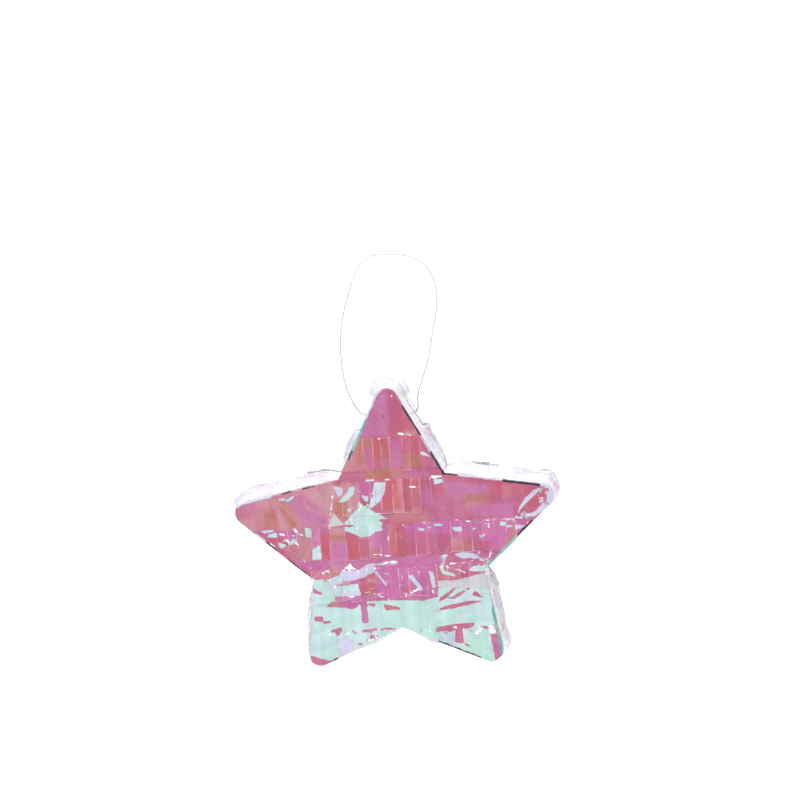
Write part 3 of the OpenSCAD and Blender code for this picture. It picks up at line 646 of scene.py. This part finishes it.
def tab_limits(face, left, right, z):
    """Where a tab lies on the star at a height, or None where it is off it."""
    side = 1 if left + right > 0 else -1
    span = half_span(z, side)
    if span is None:
        return None
    lo, hi = (span[0], span[1]) if side > 0 else (-span[1], -span[0])
    lo, hi = max(lo, left - LAP / 2), min(hi, right + LAP / 2)
    if len(face.loops) > 1 and PORT[2][1] < z < PORT[0][1] and abs(left + right) / 2 < PORT[1][0]:
        lo, hi = (max(lo, PORT[1][0]), hi) if side > 0 else (lo, min(hi, PORT[0][0]))
    return (lo, hi) if hi - lo > 0.3 else None


def add_tabs(sheet, face, row, rng):
    """The fringe of one row: each tab hangs from the slit line, a little twisted and curled."""
    slits = face.slits[row["index"]]
    reach = min(row["reach"], 75.0)
    edges = [-reach] + [s for s in slits if abs(s) < reach] + [reach]
    for left, right in zip(edges, edges[1:]):
        end = row["end"] + rng.uniform(-0.9, 0.9)
        heights = np.linspace(row["cut"], end, round((row["cut"] - end) / SPACING) + 1)
        spans = [(z, tab_limits(face, left, right, z)) for z in heights]
        spans = [(z, span) for z, span in spans if span]
        twist = rng.uniform(-0.02, 0.02)
        curl = rng.choice([0.05, 0.1, 0.25, 0.6]) * rng.uniform(0.5, 1.0)
        lift = rng.uniform(0.03, 0.16)
        tone = rng.choice([0.22, 0.36, 0.45, 0.55, 0.66]) + rng.uniform(-0.06, 0.06)
        shade = rng.random()
        sway = rng.uniform(-0.25, 0.25)
        if len(spans) < 3:
            continue
        middle = (left + right) / 2
        width = max(hi - lo for _, (lo, hi) in spans)

        def maker(u, v):
            place_in = v * (len(spans) - 1)
            i = min(int(place_in), len(spans) - 2)
            part = place_in - i
            z = spans[i][0] + (spans[i + 1][0] - spans[i][0]) * part
            lo = spans[i][1][0] + (spans[i + 1][1][0] - spans[i][1][0]) * part
            hi = spans[i][1][1] + (spans[i + 1][1][1] - spans[i][1][1]) * part
            x = lo + u * (hi - lo)
            down = (row["cut"] - z) / (row["cut"] - end)
            stand = face.header_stand(row, x, z) + lift * down + curl * down ** 5
            stand += max(-0.3, twist * (x - middle)) * down
            inward = sway * down * math.sin(math.pi * u)
            edge = min(min(u, 1 - u) * (hi - lo), (1 - v) * len(spans) * SPACING)
            return face.point(x + inward, z, stand), (x, z), tone, shade, edge

        sheet.add_grid(len(spans) - 1, max(3, round(width / SPACING)), maker)


def add_rim(sheet, face, row):
    """The film's edge folded over the card's edge, along the part of the outline in this row."""
    out = outward(RIM, np.roll(RIM, -1, axis=0) - np.roll(RIM, 1, axis=0))
    low = row["end"] if row["index"] < 4 else -PAST_STAR
    high = [PAST_STAR, 0.0, row["top"] + 1.0, face_row_end(face, 2), face_row_end(face, 3)][row["index"]]
    for a in range(len(RIM)):
        b = (a + 1) % len(RIM)
        z = (RIM[a][1] + RIM[b][1]) / 2
        if row["index"] == 1 or not low < z <= high:
            continue
        corners = []
        for i in (a, b):
            line = []
            for beyond, stand in RIM_SECTION:
                x, height = RIM[i] + out[i] * beyond
                stand += 0.12 * noise.noise(Vector((x / 2.5, height / 2.5, face.seed)))
                tone = 0.4 + 0.4 * noise.noise(Vector((x / 6.0, height / 6.0, face.seed + 9.0)))
                line.append(sheet.add_point(face.point(x, height, stand), (x, height), tone, 0.5))
            corners.append(line)
        for j in range(len(RIM_SECTION) - 1):
            sheet.faces.append((corners[0][j], corners[0][j + 1], corners[1][j + 1], corners[1][j]))


def face_row_end(face, index):
    """Height at which a CAD film row ends."""
    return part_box(f"{face.name}_film_{index + 1}")[0].z / MM - CENTRE_Z


def painted_slit_glints(face, row, rng):
    """Painted glints: short bright marks at the top of each slit, where the film is pulled out of line."""
    glints = []
    for slit in face.slits[row["index"]]:
        for across, size in ((rng.uniform(-0.4, 0.4), 0.8), (rng.uniform(1.0, 4.0), 0.5)):
            if rng.random() < 0.8:
                x, z = slit + across, row["cut"] + rng.uniform(-1.2, 0.3)
                width = size * rng.uniform(0.6, 1.1)
                glints.append(("white", width, [(x, z), (x + rng.uniform(0.1, 0.7), z)]))
    return glints


def face_film(face, material):
    """All the film rows of one face, each a piece of its own."""
    for row in rows_of(face):
        rng = random.Random(face.seed * 10 + row["index"])
        sheet = Sheet()
        add_header(sheet, face, row)
        add_tabs(sheet, face, row, rng)
        add_rim(sheet, face, row)
        strokes = face.strokes + painted_slit_glints(face, row, rng)
        node = f"{face.name}_film_{row['index'] + 1}"
        piece = sheet.build(node.replace("film", "fringe"), material, face.areas, strokes, flip=face.way > 0)
        finish_film(piece, sheet, node, "star")


def finish_film(piece, sheet, node, body):
    """Hides the CAD node that a film piece replaces and hangs the piece on its body; its flat size is worked
    out but not kept.
    """
    flat = np.array(sheet.flat)
    size = (flat.max(0) - flat.min(0)) * MM
    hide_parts(node)
    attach(piece, body)
    min(sheet.flat_area(), 0.999 * float(size[0] * size[1]))


def flap_film(material):
    """The film glued on the filling flap, with its own short fringe."""
    lo, hi = (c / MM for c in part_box("flap_film"))
    bottom, top = lo.z - CENTRE_Z, hi.z - CENTRE_Z
    sheet = Sheet()
    rng = random.Random(71)
    corner = 6.0

    def half_width(z):
        rise = max(0.0, bottom + corner - z)
        return hi.x - corner + math.sqrt(max(0.0, corner ** 2 - rise ** 2))

    bands = [(top, top - 7.0, 1), (top - 7.0, top - 20.5, 8), (top - 17.5, bottom, 7)]
    for level, (high, low, tabs) in enumerate(bands):
        edges = np.linspace(-hi.x, hi.x, tabs + 1)
        for left, right in zip(edges, edges[1:]):
            end = low + (rng.uniform(0.0, 0.9) if tabs > 1 else 0.0)
            tone, shade, curl = rng.random() * 0.8, rng.random(), rng.uniform(0.2, 0.8)
            lap = LAP / 2 if tabs > 1 else 0.0

            def maker(u, v):
                z = high + (end - high) * v
                wide = half_width(z)
                a, b = max(left - lap, -wide), min(right + lap, wide)
                x = a + u * (max(b, a + 0.1) - a)
                stand = 0.15 + 0.35 * v + 0.4 * fold(x, z, 81.0) + (curl * v ** 5 if level == 1 else 0.0)
                stand -= 0.1 * level
                edge = min(u, 1 - u, 1 - v if tabs > 1 else 1) * (right - left)
                return place(x, BACK_Y + stand, z), (x, z), tone, shade, edge

            sheet.add_grid(round((high - end) / SPACING), max(3, round((right - left) / SPACING)), maker)
    piece = sheet.build("flap_fringe", material, random_areas(5, 30), [], flip=True)
    finish_film(piece, sheet, "flap_film", "flap")


# ---- Side film ----

def point_run(k):
    """The outline round point k, from inner corner to inner corner, at an even spacing."""
    lengths = np.linalg.norm(OUTLINE, axis=1)
    corners = sorted(i for i in range(len(OUTLINE))
                     if lengths[i] < lengths[i - 1] and lengths[i] < lengths[(i + 1) % len(OUTLINE)])
    start, end = corners[k - 1], corners[k]
    order = [i % len(OUTLINE) for i in range(start, end + 1 + (len(OUTLINE) if end < start else 0))]
    return resampled(OUTLINE[order], SIDE_SPACING, closed=False)


def side_film(k, way, material):
    """One row of half-clear film round point k: way -1 is the front row and 1 the rear row."""
    name = f"side_film_{'front' if way < 0 else 'rear'}_{POINTS[k]}"
    lo, hi = (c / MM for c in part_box(name))
    edge, inner = (lo.y, hi.y) if way < 0 else (hi.y, lo.y)
    run = point_run(k)
    out = outward(run, np.gradient(run, axis=0))
    length = np.concatenate([[0.0], np.cumsum(np.linalg.norm(np.diff(run, axis=0), axis=1))])
    total = float(length[-1])
    rng = random.Random(200 + 10 * k + way)
    seed = 30.0 + 3.0 * k + way
    depth = abs(inner - edge)
    sheet = Sheet()

    def ease(s):
        """Keeps the film close to the card at the inner corners."""
        return min(1.0, min(s, total - s) / SIDE_EASE)

    def under_crotch(s):
        """How much the front film sags below the crotch between the feet, from 0 to 1."""
        if way > 0 or k not in (2, 3):
            return 0.0
        from_crotch = total - s if k == 2 else s
        return max(0.0, 1.0 - abs(from_crotch - SAG_AT) / SAG_REACH)

    def rim_at(s):
        """Place on the outline at a length along the run, and the unit direction away from the star."""
        x, z, nx, nz = (np.interp(s, length, line[:, i]) for line in (run, out) for i in (0, 1))
        size = math.hypot(nx, nz)
        return x, z, nx / size, nz / size

    def spot(s, d, lift):
        """Point of the film at a length along the run and a depth behind the face's edge."""
        s = min(max(s, 0.0), total)
        x, z, nx, nz = rim_at(s)
        wave = 0.35 + (0.25 + 1.3 * (d / depth)) * fold(s, d * 1.4, seed) * ease(s)
        tip = min(1.0, max(0.0, (z - HOLE_HEIGHT - 6.0) / 5.0)) if k == 0 else 0.0
        sag = under_crotch(s)
        near_hole = k == 0 and abs(z - HOLE_HEIGHT) < HOLE_CLEAR
        puff = TIP_PUFF[way] * tip * d / depth
        stand = (0.5 * wave if near_hole else wave) + puff
        stand += SAG * sag * math.sin(math.pi * min(1.0, d / 9.0))
        stand += lift * ease(s) * (0.15 if near_hole else 1.0 - 0.8 * tip)
        return place(x + nx * stand, edge - way * d, z + nz * stand)

    def header(u, v):
        s, d = u * total, v * SIDE_HEADER
        tone = 0.5 + 0.5 * noise.noise(Vector((s / 8.0, d / 5.0, seed)))
        tone += (0.85 - tone) * min(1.0, 2.0 * under_crotch(s))
        return spot(s, d, 0.0), (s, d), tone, 0.5, 4.0

    sheet.add_grid(6, round(total / SIDE_SPACING), header)
    s = 0.0
    while s < total - 3.0:
        width = min(rng.uniform(*SIDE_TABS), total - s)
        reach = depth - 0.6 - rng.uniform(0.0, 3.0)
        if k == 0 and abs(rim_at(s + width / 2)[1] - HOLE_HEIGHT) < HOLE_TABS:
            reach = depth - 2.2
        lift = SIDE_LIFT + 1.6 * noise.noise(Vector((s / 20.0, 0.0, seed))) + rng.uniform(-0.3, 0.3)
        twist = rng.uniform(-0.05, 0.05)
        tone, shade = rng.random(), rng.random()
        start = s

        def tab(u, v):
            at = start + u * width
            d = SIDE_HEADER + v * (reach - SIDE_HEADER)
            rise = lift * v ** 1.6 + max(-0.25, twist * (u - 0.5) * width) * v
            return spot(at, d, rise), (at, d), tone, shade, min(u, 1 - u, 1 - v) * width

        rows = round((reach - SIDE_HEADER) / SIDE_SPACING)
        sheet.add_grid(rows, max(3, round(width / SIDE_SPACING)), tab)
        s += width
    piece = sheet.build(name.replace("film", "fringe"), material, [], [], flip=way < 0)
    finish_film(piece, sheet, name, "star")


# ---- Materials ----

class Shader:
    """A material whose nodes are made by short calls. A socket given as a value is linked."""

    def __init__(self, name):
        self.material = bpy.data.materials.new(name)
        self.material.use_nodes = True
        self.tree = self.material.node_tree
        self.surface = self.tree.nodes["Principled BSDF"]

    def make(self, kind, values=(), **settings):
        made = self.tree.nodes.new(kind)
        for key, value in settings.items():
            setattr(made, key, value)
        for key, value in dict(values).items():
            self.set(made, key, value)
        return made

    def set(self, node, key, value):
        if isinstance(value, bpy.types.NodeSocket):
            self.tree.links.new(value, node.inputs[key])
        else:
            node.inputs[key].default_value = value

    def finish(self, **values):
        for key, value in values.items():
            self.set(self.surface, key.replace("_", " "), value)
        return self.material

    def place(self, stretch=(1, 1, 1)):
        where = self.make("ShaderNodeTexCoord").outputs["Object"]
        return self.make("ShaderNodeMapping", {"Vector": where, "Scale": stretch}).outputs["Vector"]

    def noise(self, scale, stretch=(1, 1, 1), detail=3.0, rough=0.5):
        return self.make("ShaderNodeTexNoise", {
            "Vector": self.place(stretch), "Scale": scale, "Detail": detail,
            "Roughness": rough}).outputs["Fac"]

    def ridges(self, scale, stretch=(1, 1, 1)):
        """Thin branching creases: high on each crease and low between."""
        return self.make("ShaderNodeTexNoise", {
            "Vector": self.place(stretch), "Scale": scale, "Detail": 3.0, "Roughness": 0.5,
            "Lacunarity": 2.2, "Offset": 0.9, "Gain": 1.2},
            noise_type="RIDGED_MULTIFRACTAL").outputs["Fac"]

    def colour(self, name):
        return self.make("ShaderNodeAttribute", attribute_name=name).outputs["Color"]

    def value(self, name):
        return self.make("ShaderNodeAttribute", attribute_name=name).outputs["Fac"]

    def ramp(self, factor, stops):
        made = self.make("ShaderNodeValToRGB", {"Fac": factor})
        elements = made.color_ramp.elements
        while len(elements) < len(stops):
            elements.new(0.5)
        for element, (at, colour) in zip(elements, stops):
            element.position = at
            element.color = colour
        return made.outputs["Color"]

    def fit(self, value, low, high, to_low=0.0, to_high=1.0):
        return self.make("ShaderNodeMapRange", {"Value": value, "From Min": low, "From Max": high,
                                                "To Min": to_low, "To Max": to_high}).outputs["Result"]

    def maths(self, what, a, b=0.0):
        made = self.make("ShaderNodeMath", operation=what)
        self.set(made, 0, a)
        self.set(made, 1, b)
        return made.outputs[0]

    def mix(self, factor, a, b, how="MIX"):
        made = self.make("ShaderNodeMix", data_type="RGBA", blend_type=how)
        for index, value in ((0, factor), (6, a), (7, b)):
            self.set(made, index, value)
        return made.outputs[2]

    def bump(self, height, strength, distance, normal=None):
        values = {"Height": height, "Strength": strength, "Distance": distance}
        if normal is not None:
            values["Normal"] = normal
        return self.make("ShaderNodeBump", values).outputs["Normal"]


def film_material():
    """Iridescent film, with its patches from the mesh's own values; its mint, pale and white patches are
    painted reflections and glints, and pale lines on its cut edges and creases are painted highlights.
    """
    s = Shader("iridescent_film")
    tint = s.noise(75, detail=3)
    cloud = s.ramp(s.noise(60, detail=3), [(0.3, srgb(184, 100, 98)), (0.5, srgb(180, 96, 130)),
                                           (0.7, srgb(178, 112, 162))])
    colour = s.mix(0.2, s.colour("tint"), cloud)
    # The mint and pale colours are painted reflections of the lamps in the film, the white ones painted
    # glints.
    colours = {
        "mint": (srgb(170, 209, 197), srgb(184, 203, 210)),
        "pale": (srgb(180, 200, 212), srgb(194, 184, 212)),
        "grey": (srgb(186, 186, 190), srgb(194, 190, 196)),
        "white": (srgb(240, 248, 246), srgb(255, 255, 255)),
        "dark": (srgb(24, 14, 22), srgb(60, 44, 70)),
        "teal": (srgb(50, 140, 140), srgb(120, 190, 180)),
    }
    wobble = s.fit(s.noise(450, detail=2), 0.25, 0.75, -0.25, 0.25)
    mixed = s.fit(s.maths("ADD", tint, s.maths("MULTIPLY", s.value("shade"), 0.4)), 0.45, 0.95)
    for kind in KINDS:
        distance = s.maths("ADD", s.value(kind), wobble)
        colour = s.mix(s.fit(distance, 0.12, -0.12), colour, s.mix(mixed, *colours[kind]))
    streaks = s.noise(260, stretch=(1, 1, 0.12), detail=2)
    creases = s.ridges(70, stretch=(1, 1, 0.6))
    light = s.maths("ADD", s.fit(streaks, 0.3, 0.7, 0.92, 1.06), s.fit(s.value("shade"), 0, 1, -0.06, 0.06))
    grey = s.make("ShaderNodeCombineColor", {"Red": light, "Green": light, "Blue": light}).outputs["Color"]
    colour = s.mix(1.0, colour, grey, how="MULTIPLY")
    # Painted highlight: a pale line along each tab's cut edge.
    edge_highlight_mask = s.fit(s.value("edge"), 0.12, 0.4, 1.0, 0.0)
    cut = s.maths("MULTIPLY", edge_highlight_mask, s.fit(s.noise(90), 0.4, 0.65, 0.0, 0.4))
    colour = s.mix(cut, colour, srgb(238, 224, 228))
    # Painted highlight: pale lines on the creases, which also bump the surface below.
    colour = s.mix(s.fit(creases, 1.15, 1.5, 0.0, 0.15), colour, srgb(236, 214, 226))
    folds = s.bump(creases, 0.45, 0.0008)
    normal = s.bump(s.noise(420, detail=4), 0.2, 0.0004, folds)
    return s.finish(Base_Color=colour, Roughness=s.fit(s.noise(220), 0.3, 0.7, 0.18, 0.36), Normal=normal,
                    Specular_IOR_Level=0.45, Coat_Weight=0.25, Coat_Roughness=0.06)


def side_film_material():
    """The same film where it is seen edge-on and half clear over white card. Its pale colours are partly
    painted sheen, the white that the film reflects edge-on, and the pale lines on its creases and cut edges
    are painted highlights.
    """
    s = Shader("pale_side_film")
    tone = s.maths("ADD", s.maths("MULTIPLY", s.value("tone"), 0.5), s.noise(45, detail=3))
    colour = s.ramp(s.fit(tone, 0.35, 1.05), [
        (0.0, srgb(222, 194, 184)), (0.15, srgb(212, 210, 217)), (0.45, srgb(202, 198, 215)),
        (0.72, srgb(208, 204, 217)), (0.82, srgb(216, 182, 206)), (0.92, srgb(190, 210, 204)),
        (1.0, srgb(212, 212, 217))])
    creases = s.fit(s.ridges(60), 1.1, 1.5)
    # Painted highlight: pale lines on the creases.
    colour = s.mix(s.maths("MULTIPLY", creases, 0.6), colour, srgb(240, 240, 244))
    cut = s.fit(s.value("edge"), 0.1, 0.35, 1.0, 0.0)
    # Painted highlight: a pale line along each tab's cut edge.
    colour = s.mix(s.maths("MULTIPLY", cut, 0.5), colour, srgb(240, 238, 246))
    alpha = s.maths("ADD", s.fit(s.noise(90, detail=2), 0.3, 0.8, 0.5, 0.75),
                    s.maths("MULTIPLY", creases, 0.15))
    folds = s.bump(s.ridges(60), 0.5, 0.001)
    normal = s.bump(s.noise(420, detail=4), 0.25, 0.0005, folds)
    return s.finish(Base_Color=colour, Alpha=alpha, Roughness=s.fit(s.noise(200), 0.3, 0.7, 0.12, 0.3),
                    Normal=normal, Specular_IOR_Level=0.5, Coat_Weight=0.3, Coat_Roughness=0.05)


def card_material(name, light, dark, scale, rough):
    """Board or paper: fibres, soft mottling and a matt surface."""
    s = Shader(name)
    fibre = s.noise(1400, stretch=(1, 1, 0.25), detail=4, rough=0.65)
    mottle = s.noise(scale, detail=5, rough=0.6)
    colour = s.mix(s.fit(mottle, 0.3, 0.75), light, dark)
    colour = s.mix(s.fit(fibre, 0.55, 0.8, 0.0, 0.35), colour, dark)
    normal = s.bump(fibre, 0.25, 0.0002, s.bump(mottle, 0.15, 0.0006))
    return s.finish(Base_Color=colour, Roughness=s.fit(mottle, 0.3, 0.7, rough - 0.08, rough + 0.06),
                    Normal=normal, Specular_IOR_Level=0.3)


def nylon_material():
    """Clear nylon with fine drawn lines along it."""
    s = Shader("clear_nylon")
    lines = s.noise(900, detail=3)
    colour = s.ramp(lines, [(0.3, srgb(201, 202, 206)), (0.7, srgb(218, 219, 222))])
    return s.finish(Base_Color=colour, Roughness=s.fit(lines, 0.3, 0.7, 0.14, 0.28),
                    Normal=s.bump(lines, 0.12, 0.0001), IOR=1.53, Transmission_Weight=0.12)


def stage_material(name, shade):
    s = Shader(name)
    colour = s.ramp(s.noise(3.0, detail=2), [(0.3, srgb(shade, shade, shade)), (0.7, srgb(255, 255, 255))])
    return s.finish(Base_Color=colour, Roughness=0.9, Specular_IOR_Level=0.1)


# ---- Camera ----

def add_camera():
    """Looks a little down at the front from the right, tilted as the hand holds the star."""
    azimuth, elevation, roll = math.radians(4.0), math.radians(6.795), math.radians(-4.18)
    aim, distance = Vector((0.0055, 0.0, -0.0753)), 0.9728
    back = Vector((math.sin(azimuth) * math.cos(elevation), -math.cos(azimuth) * math.cos(elevation),
                   math.sin(elevation)))
    right = Vector((math.cos(azimuth), math.sin(azimuth), 0.0))
    up = back.cross(right)
    x_axis = right * math.cos(roll) + up * math.sin(roll)
    y_axis = up * math.cos(roll) - right * math.sin(roll)
    camera = bpy.data.objects.new("camera", bpy.data.cameras.new("camera"))
    camera.data.lens = 85
    camera.data.sensor_width = 36
    turn = Matrix((x_axis, y_axis, back)).transposed().to_4x4()
    camera.matrix_world = Matrix.Translation(aim + back * distance) @ turn
    bpy.context.scene.collection.objects.link(camera)
    bpy.context.scene.camera = camera


# ---- Cord ----

CORD_D = 0.001
CORD_ROUTE = [   # [x, z] in millimetres, in the plane y = 0
    (8, -82), (11.4, -82), (13, -81.6), (14.2, -80.5), (14.6, -78.8), (14.6, -76.6), (15, -73),
    (16.6, -68), (19.1, -62), (21.4, -55.5), (23.2, -48), (25, -40.5), (27.2, -31), (28.2, -23),
    (27.6, -16.5), (25.4, -10), (21.4, -5), (15.5, -2), (8, -0.4), (0, 0), (-5, -1), (-10, -4.6),
    (-14, -11.5), (-17.6, -20.5), (-20.6, -30), (-22.6, -40), (-23.2, -50), (-22.8, -60.5), (-21.2, -69),
    (-18.6, -75.6), (-16.4, -79.4), (-14.4, -81.4), (-11.5, -82), (-8, -82)]


def smooth_line(route, steps=6):
    """Catmull-Rom line through a route's points."""
    line = []
    for i in range(len(route) - 1):
        a, b, c, d = (np.array(route[min(max(j, 0), len(route) - 1)], float) for j in range(i - 1, i + 3))
        for t in (j / steps for j in range(steps)):
            line.append(0.5 * (2 * b + (c - a) * t + (2 * a - 5 * b + 4 * c - d) * t * t
                               + (3 * b - a - 3 * c + d) * t ** 3))
    return np.array(line + [np.array(route[-1], float)])


def hanging_loop(material):
    """The nylon loop, from knot to knot through both sides of the top point."""
    line = smooth_line(CORD_ROUTE) * MM
    data = bpy.data.curves.new("hanging_loop", "CURVE")
    data.dimensions = "3D"
    data.bevel_depth = CORD_D / 2
    data.bevel_resolution = 5
    data.use_fill_caps = True
    spline = data.splines.new("POLY")
    spline.points.add(len(line) - 1)
    for point, (x, z) in zip(spline.points, line):
        point.co = (x, 0.0, z, 1.0)
    data.materials.append(material)
    loop = bpy.data.objects.new("hanging_loop", data)
    bpy.context.scene.collection.objects.link(loop)
    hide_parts("hanger_cord")
    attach(loop, "hanger")


# ---- Stage ----

def add_stage():
    """White floor that sweeps up behind into a backdrop."""
    floor_z, back_y, radius, width = -0.55, 1.8, 0.6, 5.0
    section = [(-2.5, floor_z), (back_y - radius, floor_z)]
    section += [(back_y - radius + radius * math.sin(a), floor_z + radius - radius * math.cos(a))
                for a in (math.pi / 2 * i / 12 for i in range(1, 13))]
    section.append((back_y, 2.5))
    mesh = bpy.data.meshes.new("backdrop")
    mesh.from_pydata([(side * width / 2, y, z) for side in (-1, 1) for y, z in section], [],
                     [(i, i + 1, len(section) + i + 1, len(section) + i) for i in range(len(section) - 1)])
    mesh.polygons.foreach_set("use_smooth", [True] * len(mesh.polygons))
    mesh.materials.append(stage_material("backdrop_paper", 250))
    backdrop = bpy.data.objects.new("backdrop", mesh)
    bpy.context.scene.collection.objects.link(backdrop)


def add_light(name, location, target, size, power, colour=(1, 1, 1)):
    data = bpy.data.lights.new(name, "AREA")
    data.shape = "RECTANGLE"
    data.size, data.size_y = size
    data.energy = power
    data.color = colour
    light = bpy.data.objects.new(name, data)
    light.location = location
    light.rotation_euler = (Vector(target) - Vector(location)).to_track_quat("-Z", "Y").to_euler()
    bpy.context.scene.collection.objects.link(light)


def add_lights():
    middle = (0.0, 0.0, -0.14)
    add_light("key", (-0.9, -1.2, 0.8), middle, (0.8, 0.8), 9.8)
    add_light("fill", (1.1, -1.1, 0.2), middle, (0.9, 0.9), 5.5)
    add_light("top", (0.1, 0.1, 1.2), middle, (0.9, 0.9), 1.2)
    add_light("backdrop_light", (0.0, 0.3, 1.6), (0.0, 1.8, 0.0), (2.5, 0.8), 60)
    world = bpy.data.worlds.new("studio")
    bpy.context.scene.world = world
    world.use_nodes = True
    world.node_tree.nodes["Background"].inputs["Color"].default_value = (1.0, 1.0, 1.0, 1.0)
    world.node_tree.nodes["Background"].inputs["Strength"].default_value = 0.62


# ---- Assembly ----

def paint_cad_nodes(nylon):
    """Finishes for the CAD nodes that show as they are."""
    card = card_material("white_card", srgb(246, 244, 240), srgb(228, 223, 214), 90, 0.75)
    tape = card_material("gummed_tape", srgb(206, 178, 134), srgb(184, 152, 106), 120, 0.62)
    board = card_material("brown_board", srgb(190, 160, 118), srgb(160, 128, 88), 160, 0.8)
    finishes = {"valley_tapes": tape, "hanger_washers": board, "hanger_knots": nylon}
    for name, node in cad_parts.items():
        for place_on_node in node.material_slots:
            place_on_node.material = finishes.get(name, card)


add_camera()
nylon = nylon_material()
hanging_loop(nylon)
paint_cad_nodes(nylon)

film = film_material()
side = side_film_material()
back_slits = [[s + random.Random(i).uniform(-2.0, 2.0) if s else 0 for s in line]
              for i, line in enumerate(FRONT_SLITS)]
edges = [(kind, width, rim_line(start, end)) for kind, width, start, end in EDGES]
front_strokes = STROKES + painted_fold_highlights(3, CRUMPLES) + edges
back_strokes = painted_fold_highlights(4, [((-60, -8), (60, 30), 70, 20), ((-45, -60), (45, -10), 30, 10)])
face_film(Face(-1, FRONT_Y, 11, FRONT_SLITS, AREAS, front_strokes, port=False), film)
face_film(Face(1, BACK_Y, 23, back_slits, random_areas(9, 70), back_strokes, port=True), film)
flap_film(film)
for k in range(len(POINTS)):
    for way in (-1, 1):
        side_film(k, way, side)

add_stage()
add_lights()
bpy.context.scene.view_settings.view_transform = "Standard"
